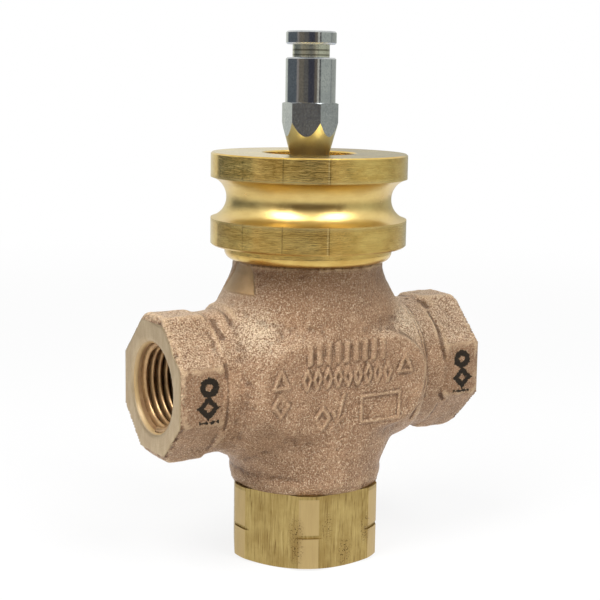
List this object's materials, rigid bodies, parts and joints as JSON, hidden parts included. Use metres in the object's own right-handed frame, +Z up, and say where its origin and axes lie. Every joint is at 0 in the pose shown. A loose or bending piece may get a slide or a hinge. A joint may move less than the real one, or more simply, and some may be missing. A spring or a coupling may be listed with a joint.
{
  "type": "three-way control valve",
  "caption": "Three-way globe control valve: cast bronze body with female pipe threads, grooved brass bonnet for an actuator yoke, and a sliding stem with a snap-in connector.",
  "frame": {"origin": "middle of the foot of the bottom hexagon, on the stem axis", "axes": "+Z up along the stem, +X along the right-hand side port, -Y the front as pictured"},
  "size_m": [0.0838, 0.0476, 0.1276],
  "materials": {
    "cast_bronze": "sand cast, rough",
    "bar_brass": "drawn bar, dull",
    "turned_brass": "turned",
    "plug_brass": "turned",
    "stainless_steel": "ground",
    "plated_steel": "nickel plated",
    "gasket_fibre": "pressed fibre",
    "packing_plastic": "waxy",
    "seal_rubber": "moulded"
  },
  "bodies": {
    "valve_body": {"body_casting": "cast_bronze", "bottom_port_adapter": "bar_brass", "adapter_gasket": "gasket_fibre", "bonnet": "turned_brass", "bonnet_gasket": "gasket_fibre", "stem_guide_bush": "plug_brass", "packing_base_ring": "packing_plastic", "v_ring_1": "packing_plastic", "v_ring_2": "packing_plastic", "v_ring_3": "packing_plastic", "packing_follower": "packing_plastic", "packing_spring": "stainless_steel", "spring_washer": "stainless_steel", "gland_nut": "turned_brass", "wiper_ring": "seal_rubber"},
    "stem_assembly": {"stem": "stainless_steel", "plug": "plug_brass", "lower_seal_ring": "seal_rubber", "upper_seal_ring": "seal_rubber", "plug_washer": "stainless_steel", "plug_nut": "stainless_steel", "stem_connector": "plated_steel"}
  },
  "joints": [
    {"name": "stem_stroke", "type": "slide", "parent": "valve_body", "child": "stem_assembly", "axis": [0, 0, 1], "range_m": [0, 0.008]}
  ]
}
